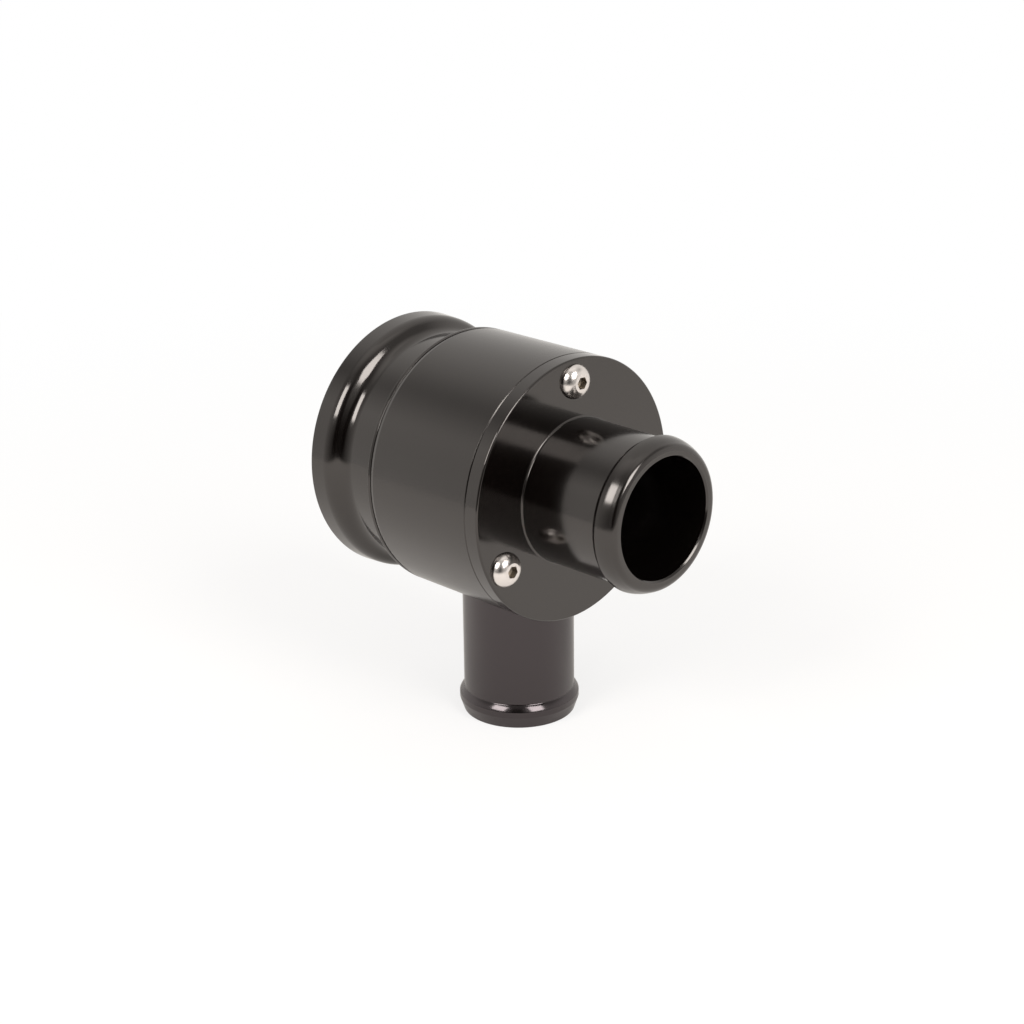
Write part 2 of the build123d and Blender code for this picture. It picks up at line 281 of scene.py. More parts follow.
def ridges(start: float, end: float, crest: float, root: float, pitch: float) -> list[Corner]:
    """Corners of a fine thread's flanks along a stretch.

    Args:
        start: The place of the first root.
        end: The place that the last root stays short of.
        crest: The radius at the crests.
        root: The radius at the roots.
        pitch: The distance from crest to crest.

    Returns:
        The corners, first to last.
    """
    crest_start, crest_end = 0.44, 0.56
    count = int(abs(end - start) / pitch)
    way = pitch if end > start else -pitch
    corners: list[Corner] = []
    for turn in range(count):
        corners.append((start + way * turn, root, 0.0))
        corners.append((start + way * (turn + crest_start), crest, 0.0))
        corners.append((start + way * (turn + crest_end), crest, 0.0))
    corners.append((start + way * count, root, 0.0))
    return corners


class Tree:
    """A node tree being filled, with short calls for nodes and links."""

    def __init__(self, tree: Group) -> None:
        """Takes the tree that the calls fill and empties it."""
        self.tree = tree
        tree.nodes.clear()

    @classmethod
    def group(cls, name: str, kind: str, inputs: dict[str, object],
              outputs: dict[str, object]) -> tuple["Tree", dict[str, Socket]]:
        """Makes a node group with named sockets.

        Args:
            name: The group's name.
            kind: GeometryNodeTree or ShaderNodeTree.
            inputs: Each input's default by name, or Geometry or Material, which have none.
            outputs: The same for the outputs.

        Returns:
            The group's tree and its inputs by name.
        """
        tree = bpy.data.node_groups.new(name, kind)
        for side, sockets in (("INPUT", inputs), ("OUTPUT", outputs)):
            for title, value in sockets.items():
                bare = isinstance(value, str)
                sort = "NodeSocket" + (value if bare else type(value).__name__.title())
                made = tree.interface.new_socket(title, in_out=side, socket_type=sort)
                if not bare:
                    made.default_value = value
        t = cls(tree)
        return t, {socket.name: socket for socket in t.add("NodeGroupInput").outputs}

    def add(self, kind: str, settings: dict[str, object] | None = None, **values: object) -> bpy.types.Node:
        """Adds a node.

        Args:
            kind: The node's type name.
            settings: Properties of the node itself.
            values: Input values, or sockets to link, by input name with spaces as underscores.

        Returns:
            The new node.
        """
        node = self.tree.nodes.new(kind)
        for name, value in (settings or {}).items():
            setattr(node, name, value)
        self.fill(node, **values)
        return node

    def fill(self, node: bpy.types.Node, **values: object) -> None:
        """Sets or links a node's inputs by name, with spaces as underscores."""
        for name, value in values.items():
            self.put(node, name.replace("_", " "), value)

    def put(self, node: bpy.types.Node, name: str | int, value: object) -> None:
        """Sets or links one input.

        Args:
            node: The node with the input.
            name: The input's name or number.
            value: A value, or the socket that feeds it.
        """
        socket = node.inputs[name]
        if isinstance(value, Socket):
            self.tree.links.new(value, socket)
        else:
            socket.default_value = value

    def _step(self, kind: str, settings: dict[str, object], values: dict[int, object]) -> bpy.types.Node:
        """Adds a node whose inputs go by number.

        Args:
            kind: The node's type name.
            settings: Properties of the node itself.
            values: Values, or sockets to link, by the input's number.

        Returns:
            The new node.
        """
        node = self.add(kind, settings)
        for index, value in values.items():
            self.put(node, index, value)
        return node

    def math(self, operation: str, *values: object) -> Socket:
        """Adds a Math node and returns its output."""
        return self._step("ShaderNodeMath", {"operation": operation}, dict(enumerate(values))).outputs[0]

    def product(self, *values: object) -> Socket:
        """Multiplies two or more values.

        Args:
            values: Values or sockets, with a socket among the first two.

        Returns:
            The socket with the product.
        """
        whole = values[0]
        for value in values[1:]:
            whole = self.math("MULTIPLY", whole, value)
        return whole

    def vector(self, operation: str, *values: object) -> Socket:
        """Adds a Vector Math node and returns its vector, or its value for a length or a dot product."""
        node = self._step("ShaderNodeVectorMath", {"operation": operation}, dict(enumerate(values)))
        return node.outputs["Value" if operation in ("LENGTH", "DOT_PRODUCT") else "Vector"]

    def split(self, vector: Socket) -> tuple[Socket, Socket, Socket]:
        """Splits a vector into its three parts."""
        node = self.add("ShaderNodeSeparateXYZ", Vector=vector)
        return node.outputs["X"], node.outputs["Y"], node.outputs["Z"]

    def combined(self, x: object, y: object, z: object) -> Socket:
        """Puts a vector together from three values."""
        return self.add("ShaderNodeCombineXYZ", X=x, Y=y, Z=z).outputs[0]

    def colours(self, share: object, first: object, second: object) -> Socket:
        """Mixes two colours."""
        return self._step("ShaderNodeMix", {"data_type": "RGBA"}, {0: share, 6: first, 7: second}).outputs[2]

    def shaders(self, share: object, first: Socket, second: Socket) -> Socket:
        """Mixes two shaders."""
        return self._step("ShaderNodeMixShader", {}, {0: share, 1: first, 2: second}).outputs[0]

    def span(self, value: Socket, low: float, high: float, start: float, end: float,
             kind: str = "LINEAR") -> Socket:
        """Maps a value from one range to another and stays within it.

        Args:
            value: The socket with the value.
            low: Where the first range starts.
            high: Where the first range ends.
            start: The result at its start.
            end: The result at its end.
            kind: The form of the way between them.

        Returns:
            The socket with the result.
        """
        node = self.add("ShaderNodeMapRange", {"interpolation_type": kind}, Value=value)
        self.fill(node, From_Min=low, From_Max=high, To_Min=start, To_Max=end)
        return node.outputs[0]

    def objects(self) -> Socket:
        """The place in object coordinates."""
        return self.add("ShaderNodeTexCoord").outputs["Object"]

    def placed(self, group: Group, **values: object) -> bpy.types.Node:
        """Places a shared group, with its inputs by name and spaces as underscores."""
        return self.add("ShaderNodeGroup", {"node_tree": group}, **values)

    def dressed(self, geometry: Socket, finish: Socket) -> None:
        """Ends a geometry group with smooth, real geometry that has its finish.

        Args:
            geometry: The finished form.
            finish: The socket with the material.
        """
        smooth = self.add("GeometryNodeSetShadeSmooth", Geometry=geometry)
        whole = self.add("GeometryNodeRealizeInstances", Geometry=smooth.outputs[0])
        done = self.add("GeometryNodeSetMaterial", Geometry=whole.outputs[0], Material=finish)
        self.add("NodeGroupOutput", Form=done.outputs[0])


class Lathe:
    """Geometry Nodes that sweep a section round an axis and may press it to a hexagon."""

    RING = 10 * MM
    MERGE = 0.5e-6
    LEAST_RADIUS = 1e-7
    CORNER_SLACK = 1.001

    def __init__(self) -> None:
        """Builds the node group once."""
        t, given = Tree.group("turned_section", "GeometryNodeTree", {
            "Section": "Geometry", "Segments": 256, "Flats": 0.0, "Corner Turn": 0.0, "Finish": "Material",
        }, {"Form": "Geometry"})
        curve = t.add("GeometryNodeMeshToCurve", Mesh=given["Section"])
        circle = t.add("GeometryNodeCurvePrimitiveCircle", Resolution=given["Segments"], Radius=self.RING)
        swept = t.add("GeometryNodeCurveToMesh", Curve=circle.outputs[0], Profile_Curve=curve.outputs[0])
        place = self._pressed_place(t, given)
        pressed = t.add("GeometryNodeSetPosition", Geometry=swept.outputs[0], Position=place)
        merged = t.add("GeometryNodeMergeByDistance", Geometry=pressed.outputs[0], Distance=self.MERGE)
        t.dressed(merged.outputs[0], given["Finish"])
        self.tree = t.tree

    def _pressed_place(self, t: Tree, given: dict[str, Socket]) -> Socket:
        """Limits the radius to a hexagon where the section's hex attribute asks for it.

        Args:
            t: The group being filled.
            given: The group's inputs.

        Returns:
            The socket with each point's new place.
        """
        x, y, z = t.split(t.add("GeometryNodeInputPosition").outputs[0])
        radius = t.math("SQRT", t.math("ADD", t.product(x, x), t.product(y, y)))
        turned = t.math("SUBTRACT", t.math("ARCTAN2", y, x), given["Corner Turn"])
        off_flat = t.math("SUBTRACT", t.math("WRAP", turned, pi / 3, 0.0), pi / 6)
        wall = t.math("DIVIDE", t.product(given["Flats"], 0.5), t.math("COSINE", off_flat))
        asked = t.add("GeometryNodeInputNamedAttribute", {"data_type": "FLOAT"}, Name="hex")
        weight = asked.outputs["Attribute"]
        pressed = t.product(t.math("MINIMUM", radius, wall), weight)
        kept = t.math("ADD", pressed, t.product(radius, t.math("SUBTRACT", 1.0, weight)))
        grown = t.math("DIVIDE", kept, t.math("MAXIMUM", radius, self.LEAST_RADIUS))
        return t.combined(t.product(x, grown), t.product(y, grown), z)

    def turn(self, name: str, section: Section, finish: bpy.types.Material, segments: int = 256,
             flats: float = 0.0, corner_turn: float = 0.0, hexed: Pair = (1.0, -1.0)) -> Object:
        """Sweeps a section round the Z axis, with places upwards.

        Args:
            name: The new piece's name.
            section: The outline.
            finish: The piece's material.
            segments: How many spans the circle has.
            flats: The hexagon's width across flats, where there is one.
            corner_turn: The hexagon's turn about the axis in radians.
            hexed: The lowest and highest place that the hexagon presses.

        Returns:
            The swept piece as a plain mesh.
        """
        points = section.points()
        places = [(radius - self.RING, -place, 0.0) for place, radius in points]
        edges = [(k, k + 1) for k in range(len(points) - 1)]
        if section.closed:
            edges.append((len(points) - 1, 0))
        widest = self.CORNER_SLACK * flats / sqrt(3)
        pressed = [float(hexed[0] <= place <= hexed[1] and radius <= widest) for place, radius in points]
        blank = linked_mesh(name + "_section", places, edges, [])
        blank.data.attributes.new("hex", "FLOAT", "POINT").data.foreach_set("value", pressed)
        settings = {"Segments": segments, "Flats": flats, "Corner Turn": corner_turn, "Finish": finish}
        return baked(name, blank, self.tree, settings)


def linked(name: str, data: bpy.types.ID) -> Object:
    """Makes an object of a mesh, lamp or camera and links it to the scene.

    Args:
        name: The object's name.
        data: What it holds.

    Returns:
        The new object.
    """
    made = bpy.data.objects.new(name, data)
    bpy.context.scene.collection.objects.link(made)
    return made


def linked_mesh(name: str, places: list[tuple[float, float, float]], edges: list[tuple[int, int]],
                faces: list[tuple[int, ...]]) -> Object:
    """Makes a linked object of a plain mesh.

    Args:
        name: The name of the object and its mesh.
        places: The points' places.
        edges: The loose edges.
        faces: The faces.

    Returns:
        The new object.
    """
    mesh = bpy.data.meshes.new(name)
    mesh.from_pydata(places, edges, faces)
    return linked(name, mesh)


def baked(name: str, blank: Object, tree: Group, settings: dict[str, object]) -> Object:
    """Runs a Geometry Nodes tree on a blank and keeps the result as a plain mesh with its faces outwards.

    Args:
        name: The new piece's name.
        blank: The object that the tree starts from; it is removed.
        tree: The node tree.
        settings: The tree's inputs by name.

    Returns:
        The new piece.
    """
    modifier = blank.modifiers.new("form", "NODES")
    modifier.node_group = tree
    sockets = {item.name: item.identifier for item in tree.interface.items_tree if item.in_out == "INPUT"}
    for title, value in settings.items():
        modifier[sockets[title]] = value
    graph = bpy.context.evaluated_depsgraph_get()
    mesh = bpy.data.meshes.new_from_object(blank.evaluated_get(graph), depsgraph=graph)
    mesh.name = name
    bpy.data.objects.remove(blank)
    work = bmesh.new()
    work.from_mesh(mesh)
    bmesh.ops.recalc_face_normals(work, faces=work.faces)
    work.to_mesh(mesh)
    work.free()
    return linked(name, mesh)


def along_main(piece: Object, height: float) -> Object:
    """Lays a piece that was turned about Z along X at a height, with its top to +X, and returns it."""
    piece.data.transform(Matrix.Translation((0, 0, height)) @ Matrix.Rotation(pi / 2, 4, "Y"))
    return piece


def cut(piece: Object, cutters: list[Object]) -> None:
    """Cuts other solids out of a piece and removes them.

    Args:
        piece: The piece to cut.
        cutters: The solids to take away.
    """
    for cutter in cutters:
        modifier = piece.modifiers.new("cut", "BOOLEAN")
        modifier.operation = "DIFFERENCE"
        modifier.solver = "EXACT"
        modifier.object = cutter
    graph = bpy.context.evaluated_depsgraph_get()
    mesh = bpy.data.meshes.new_from_object(piece.evaluated_get(graph), depsgraph=graph)
    piece.modifiers.clear()
    mesh.name = piece.name
    piece.data = mesh
    for cutter in cutters:
        bpy.data.objects.remove(cutter)


class Shared:
    """Shader node groups that several finishes use, with the main axis's height."""

    BROAD_RATE = 0.09
    BROAD_SHARE = 0.8
    PATCH_SCALE = 55.0

    def __init__(self, height: float) -> None:
        """Builds each group once.

        Args:
            height: The main axis's height.
        """
        self.height = height
        self.marks = self._turning_marks()
        self.mottle = self._mottle()
        self.dust = self._dust()

    def _turning_marks(self) -> Group:
        """Fine grooves that follow a turned section.

        Returns:
            The group, with a height and a mask.
        """
        t, given = Tree.group("turning_marks", "ShaderNodeTree", {
            "Along": 0.0, "Pitch": 0.2 * MM, "Unevenness": 0.5,
        }, {"Height": 0.0, "Mask": 0.0})
        line = {"noise_dimensions": "1D"}
        steps = t.math("DIVIDE", given["Along"], given["Pitch"])
        fine = t.add("ShaderNodeTexNoise", line, W=steps, Scale=1.0, Detail=2.0, Roughness=0.6)
        slow = t.product(steps, self.BROAD_RATE)
        broad = t.add("ShaderNodeTexNoise", line, W=slow, Scale=1.0, Detail=1.0, Roughness=0.5)
        patches = t.add("ShaderNodeTexNoise", Vector=t.objects(), Scale=self.PATCH_SCALE, Detail=2.0)
        depth = t.math("SUBTRACT", 1.0, t.product(patches.outputs[0], given["Unevenness"]))
        relief = t.math("ADD", fine.outputs[0], t.product(broad.outputs[0], self.BROAD_SHARE))
        t.add("NodeGroupOutput", Height=t.product(relief, depth), Mask=t.product(broad.outputs[0], depth))
        return t.tree

    @staticmethod
    def _mottle() -> Group:
        """Soft patches in a finish.

        Returns:
            The group, with a mask about a half.
        """
        t, given = Tree.group("mottle", "ShaderNodeTree", {"Scale": 60.0, "Contrast": 1.0}, {"Mask": 0.0})
        scale = given["Scale"]
        noise = t.add("ShaderNodeTexNoise", Vector=t.objects(), Scale=scale, Detail=4.0, Roughness=0.55)
        spread = t.product(t.math("SUBTRACT", noise.outputs[0], 0.5), given["Contrast"])
        t.add("NodeGroupOutput", Mask=t.math("ADD", spread, 0.5))
        return t.tree

    @staticmethod
    def _dust() -> Group:
        """Rare specks of dust.

        Returns:
            The group, with a mask.
        """
        t, given = Tree.group("dust", "ShaderNodeTree", {
            "Scale": 320.0, "Share": 0.05, "Size": 0.05,
        }, {"Mask": 0.0})
        cells = t.add("ShaderNodeTexVoronoi", Vector=t.objects(), Scale=given["Scale"])
        near = t.math("LESS_THAN", cells.outputs["Distance"], given["Size"])
        tint = t.add("ShaderNodeSeparateColor", Color=cells.outputs["Color"])
        chosen = t.math("LESS_THAN", tint.outputs["Red"], given["Share"])
        t.add("NodeGroupOutput", Mask=t.product(near, chosen))
        return t.tree


def new_material(name: str) -> tuple[bpy.types.Material, Tree]:
    """Makes a material with an empty tree.

    Args:
        name: The material's name.

    Returns:
        The material and its tree.
    """
    material = bpy.data.materials.new(name)
    material.use_nodes = True
    return material, Tree(material.node_tree)


@dataclass(frozen=True)
class Finish:
    """What every finish has: two tones that mix in soft patches, a roughness and a share of metal."""

    name: str
    colour: RGBA
    pale: RGBA
    roughness: float
    metallic: float = 0.0
    mottle_scale: float = 120.0

    def _start(self, shared: Shared) -> tuple[bpy.types.Material, Tree, bpy.types.Node, Socket]:
        """Makes the material with its Principled shader.

        Args:
            shared: The shared node groups.

        Returns:
            The material, its tree, the shader and the socket with the mottled tone.
        """
        material, t = new_material(self.name)
        shader = t.add("ShaderNodeBsdfPrincipled", Metallic=self.metallic)
        t.add("ShaderNodeOutputMaterial", Surface=shader.outputs[0])
        mottle = t.placed(shared.mottle, Scale=self.mottle_scale)
        return material, t, shader, t.colours(mottle.outputs["Mask"], self.colour, self.pale)


@dataclass(frozen=True)
class TurnedMetal(Finish):
    """A turned metal surface, bare or anodised, with its marks round the main axis or the outlet's."""

    mottle_scale: float = 70.0
    roughness_spread: float = 0.05
    ior: float = 1.68
    tint: RGBA = (1.0, 1.0, 1.0, 1.0)
    pitch: float = 0.22 * MM
    groove: float = 0.0015 * MM
    anisotropic: float = 0.0
    dust: float = 0.01
    dust_colour: RGBA = (0.06, 0.058, 0.055, 1.0)
    dust_roughness: float = 0.3
    upright: bool = False
    bands: Marks = ()

    def material(self, shared: Shared) -> bpy.types.Material:
        """Builds the material.

        Args:
            shared: The shared node groups.

        Returns:
            The new material.
        """
        material, t, shader, tone = self._start(shared)
        foot = (0.0, 0.0, 0.0 if self.upright else shared.height)
        axis = (0.0, 0.0, 1.0) if self.upright else (1.0, 0.0, 0.0)
        off_axis = t.vector("SUBTRACT", t.objects(), foot)
        place = t.vector("DOT_PRODUCT", off_axis, axis)
        round_axis = t.vector("CROSS_PRODUCT", off_axis, axis)
        along = t.math("SUBTRACT", place, t.vector("LENGTH", round_axis))
        marks = t.placed(shared.marks, Along=along, Pitch=self.pitch)
        dust = t.placed(shared.dust, Share=self.dust).outputs["Mask"]
        rough = t.math("ADD", t.product(marks.outputs["Mask"], self.roughness_spread), self.roughness)
        rough = t.product(rough, self._share(t, place))
        bump = t.add("ShaderNodeBump", Strength=1.0, Distance=self.groove, Height=marks.outputs["Height"])
        t.fill(shader, Base_Color=t.colours(dust, tone, self.dust_colour),
               Roughness=t.math("ADD", rough, t.product(dust, self.dust_roughness)), Normal=bump.outputs[0],
               IOR=self.ior, Specular_Tint=self.tint, Anisotropic=self.anisotropic, Tangent=round_axis)
        return material

    def _share(self, t: Tree, place: Socket) -> Socket | float:
        """The roughness's factor along the axis.

        Args:
            t: The material's tree.
            place: The socket with the place along the axis.

        Returns:
            The factor, which changes beyond each band's place.
        """
        share: Socket | float = 1.0
        before = 1.0
        for start, factor in self.bands:
            share = t.math("ADD", share, t.product(t.math("GREATER_THAN", place, start), factor - before))
            before = factor
        return share


@dataclass(frozen=True)
class SmoothFinish(Finish):
    """A drawn, moulded or rolled surface with a fine grain."""

    grain: float = 900.0
    grain_roughness: float = 0.1
    relief: float = 0.002 * MM

    def material(self, shared: Shared) -> bpy.types.Material:
        """Builds the material.

        Args:
            shared: The shared node groups.

        Returns:
            The new material.
        """
        material, t, shader, tone = self._start(shared)
        grain = t.placed(shared.mottle, Scale=self.grain).outputs["Mask"]
        bump = t.add("ShaderNodeBump", Strength=1.0, Distance=self.relief, Height=grain)
        rough = t.math("ADD", t.product(grain, self.grain_roughness), self.roughness)
        t.fill(shader, Base_Color=tone, Roughness=rough, Normal=bump.outputs[0])
        return material


TONES = ((0.0016, 0.0011, 0.001, 1.0), (0.0028, 0.0021, 0.0019, 1.0))
WARM = (1.0, 0.945, 0.91, 1.0)
VIOLET = (1.0, 0.89, 0.93, 1.0)
TUBE_AND_BEAD = ((17.75 * MM, 1.6), (38.1 * MM, 1.5))
FINISHES = {
    "body": TurnedMetal("anodised_body", *TONES, 0.18, tint=WARM, anisotropic=0.3, dust=0.0),
    "cap": TurnedMetal("anodised_cap", *TONES, 0.1, tint=WARM),
    "flange": TurnedMetal("anodised_flange", *TONES, 0.08, tint=WARM, anisotropic=0.3, bands=TUBE_AND_BEAD),
    "spigot": TurnedMetal("anodised_spigot", *TONES, 0.12, tint=VIOLET, upright=True),
    "screw": SmoothFinish("stainless_dome", (0.66, 0.62, 0.59, 1), (0.74, 0.70, 0.67, 1), 0.2, 1.0,
                          relief=0.0003 * MM),
    # The socket's dark brown colour is painted shade in the screw's recess; its higher roughness is the
    # duller surface.
    "socket": SmoothFinish("stainless_socket_shade", (0.27, 0.24, 0.2, 1), (0.36, 0.32, 0.27, 1), 0.38, 1.0),
    "piston": TurnedMetal("hard_anodised", (0.035, 0.035, 0.033, 1), (0.05, 0.05, 0.047, 1), 0.3),
    "brass": TurnedMetal("turned_brass", (0.62, 0.44, 0.20, 1), (0.70, 0.51, 0.25, 1), 0.2, 1.0),
    "spring": SmoothFinish("spring_wire", (0.30, 0.30, 0.31, 1), (0.40, 0.40, 0.41, 1), 0.25, 1.0),
    "rubber": SmoothFinish("seal_rubber", (0.012, 0.012, 0.012, 1), (0.022, 0.022, 0.021, 1), 0.5),
    "band": SmoothFinish("band_plastic", (0.28, 0.17, 0.08, 1), (0.36, 0.23, 0.12, 1), 0.45),
}


@dataclass
class Part:
    """What every sub-assembly shares: the measures, the lathe and the materials."""

    measures: Measures
    lathe: Lathe
    looks: Looks

    def settle(self, piece: Object, slot: Slot, *nodes: str, angle: float = 38.0) -> None:
        """Shades a finished piece and gives it to the housing in place of its frame nodes.

        Args:
            piece: The finished piece.
            slot: The record's slot; not used.
            nodes: The frame's nodes that it stands for.
            angle: The edge angle in degrees from which its edges are sharp.
        """
        piece.data.set_sharp_from_angle(angle=radians(angle))
        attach(piece, HOUSING)
        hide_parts(*nodes)
        log.info("%s: %d faces, stands for %s", piece.name, len(piece.data.polygons), ", ".join(nodes))

    def turned_along(self, name: str, section: Section, look: str, segments: int = 320,
                     **options: object) -> Object:
        """Turns a named piece with one of the looks about the main axis."""
        piece = self.lathe.turn(name, section, self.looks[look], segments, **options)
        return along_main(piece, self.measures.axis_height)

    def rod(self, name: str, radius: float, low: float, high: float, segments: int = 96) -> Object:
        """A plain upright cutting rod about Z, between two heights."""
        section = Section([(low, 0.0), (low, radius, 0.0), (high, radius, 0.0), (high, 0.0)], closed=False)
        return self.lathe.turn(name, section, self.looks["body"], segments)


@dataclass
class ScrewCircle:
    """Where the face screws sit, which the body and the plate share."""

    radius: float
    angles: tuple[float, ...] = (90.0, 210.0, 330.0)
    socket_turns: tuple[float, ...] = (26.0, 17.0, 8.0)

    def spots(self, height: float) -> list[Pair]:
        """The (y, z) place of each screw, round a main axis at the height."""
        return [(self.radius * cos(radians(a)), height + self.radius * sin(radians(a))) for a in self.angles]


@dataclass
class ScrewedPart(Part):
    """A piece that the face screws go through."""

    circle: ScrewCircle

    def screw_rods(self, radius: float, low: float, high: float, segments: int) -> list[Object]:
        """Cutting rods for the screws' holes.

        Args:
            radius: The holes' radius.
            low: Their rear end.
            high: Their front end.
            segments: How many spans each circle has.

        Returns:
            The rods.
        """
        rods = []
        for y, z in self.circle.spots(self.measures.axis_height):
            rod = along_main(self.rod("hole", radius, low, high, segments), 0.0)
            rod.data.transform(Matrix.Translation((0, y, z)))
            rods.append(rod)
        return rods


@dataclass
class Drum(ScrewedPart):
    """The body: a turned drum with its chamber, thread bore, outlet seat and tapped holes."""

    joint_chamfer: float = 0.35 * MM
    rear_ramp: float = 0.95 * MM
    rear_drop: float = 0.24 * MM
    plug_bore: float = 2.5 * MM
    port_step: float = 0.25 * MM
    shoulder_gap: float = 0.35 * MM
    spigot_wall: float = 2.3 * MM
    tapped_radius: float = 2.05 * MM
    tapped_depth: float = 8.5 * MM

    def build(self) -> None:
        """Turns the drum and cuts its outlet seat and holes."""
        m = self.measures
        bore = m.chamber + self.plug_bore
        shoulder = -m.outlet_bore - self.shoulder_gap
        section = Section([
            (m.body_front, m.chamber),
            (m.body_front, m.body_radius - self.joint_chamfer),
            (m.body_front - self.joint_chamfer, m.body_radius),
            (m.body_rear + self.rear_ramp, m.body_radius),
            (m.body_rear, m.body_radius - self.rear_drop),
            (m.body_rear, bore),
            (shoulder, bore),
            (shoulder, m.chamber),
        ])
        piece = self.turned_along("body_drum", section, "body")
        port = self.rod("port", m.outlet_bore + self.port_step, -MM, m.axis_height)
        seat = self.rod("seat", m.outlet_bore + self.spigot_wall, -2 * MM, m.outlet_top, 160)
        low, high = m.body_front - self.tapped_depth, m.body_front + MM
        cut(piece, [port, seat, *self.screw_rods(self.tapped_radius, low, high, 48)])
        self.settle(piece, Slot.BLACK, "body")


@dataclass
class InletFlange(ScrewedPart):
    """The face plate with the inlet's hose tail in front and the register behind."""

    wall: float = 2.8 * MM
    tail_length: float = 25.75 * MM
    root_fillet: float = 0.5 * MM
    bead_length: float = 5.3 * MM
    bead_height: float = 0.9 * MM
    bead_ramp: float = 1.1 * MM
    bead_drop: float = 0.6 * MM
    crown_place: float = 2.55 * MM
    crown_drop: float = 0.12 * MM
    crown_round: float = 9.5 * MM
    nose_drop: float = 1.46 * MM
    nose_round: float = 1.6 * MM
    mouth_chamfer: float = 0.35 * MM
    mouth_round: float = 0.15 * MM
    plate_round: float = 0.42 * MM
    register_fit: float = 0.05 * MM
    groove_depth: float = 1.15 * MM
    groove_half: float = 0.85 * MM
    ridge_offset: float = 1.4 * MM
    ridge_width: float = 0.9 * MM
    ridge_height: float = 0.4 * MM
    hole_radius: float = 2.25 * MM

    def plate_front(self) -> float:
        """The place of the plate's front face."""
        return self.measures.inlet_mouth - self.tail_length

    def build(self) -> None:
        """Turns the flange and drills its three holes."""
        m = self.measures
        tube = m.inlet_bore + self.wall
        front = self.plate_front()
        bead_start = m.inlet_mouth - self.bead_length
        bead = tube + self.bead_height
        register = m.chamber - self.register_fit
        seat = m.ridge_face + self.ridge_height
        middle = (m.body_front + seat) / 2
        ridge = m.inlet_bore + self.ridge_offset
        section = Section([
            (m.inlet_mouth, m.inlet_bore + self.mouth_chamfer, self.mouth_round),
            (m.inlet_mouth, bead - self.nose_drop, self.nose_round),
            (bead_start + self.crown_place, bead - self.crown_drop, self.crown_round),
            (bead_start + self.bead_ramp, bead),
            (bead_start, bead - self.bead_drop),
            (bead_start, tube),
            (front, tube, self.root_fillet),
            (front, m.body_radius, self.plate_round),
            (m.body_front, m.body_radius),
            (m.body_front, register),
            (middle + self.groove_half, register),
            (middle + self.groove_half, register - self.groove_depth),
            (middle - self.groove_half, register - self.groove_depth),
            (middle - self.groove_half, register),
            (seat, register),
            (seat, ridge + self.ridge_width / 2),
            (m.ridge_face, ridge + self.ridge_width / 2),
            (m.ridge_face, ridge - self.ridge_width / 2),
            (seat, ridge - self.ridge_width / 2),
            (seat, m.inlet_bore),
            (m.inlet_mouth - self.mouth_chamfer, m.inlet_bore),
        ], step_angle=3.0)
        piece = self.turned_along("inlet_flange_turned", section, "flange")
        cut(piece, self.screw_rods(self.hole_radius, m.body_front - MM, front + MM, 64))
        self.settle(piece, Slot.BLACK, "inlet_flange")


@dataclass
class OutletSpigot(Part):
    """The outlet tube with its hose bead at the foot."""

    wall: float = 2.25 * MM
    foot_swell: float = 0.1 * MM
    foot_round: float = 0.3 * MM
    bead_bottom: float = 2.8 * MM
    bead_top: float = 4.1 * MM
    bead_back: float = 1.5 * MM
    bead_round: float = 0.45 * MM
    bead_rise: float = 0.09 * MM
    bead_steps: int = 8
    mouth_chamfer: float = 0.4 * MM
    ring_section: float = 0.7 * MM
    ring_space: float = 0.3 * MM
    ring_gap: float = 0.05 * MM
    ring_margin: float = 1.0 * MM

    def build(self) -> None:
        """Turns the spigot about the outlet's axis."""
        m = self.measures
        tube = m.outlet_bore + self.wall
        crest, back = (self.bead_top, m.outlet_bead), (self.bead_top + self.bead_back, tube)
        groove_top = m.outlet_top - self.ring_margin
        groove_bottom = groove_top - 2 * (self.ring_section + self.ring_space)
        groove = tube - 2 * self.ring_section - self.ring_gap
        section = Section([
            (0.0, m.outlet_bore + self.mouth_chamfer),
            (0.0, tube + self.foot_swell, self.foot_round),
            (self.bead_bottom, m.outlet_bead, self.bead_round),
            (*crest, self.bead_round),
            *arc_between(crest, back, self.bead_rise, self.bead_steps),
            (*back, self.bead_round),
            (groove_bottom, tube),
            (groove_bottom, groove),
            (groove_top, groove),
            (groove_top, tube),
            (m.outlet_top, tube),
            (m.outlet_top, m.outlet_bore),
            (self.mouth_chamfer, m.outlet_bore),
        ])
        piece = self.lathe.turn("outlet_spigot_turned", section, self.looks["spigot"])
        self.settle(piece, Slot.BLACK, "outlet_spigot")


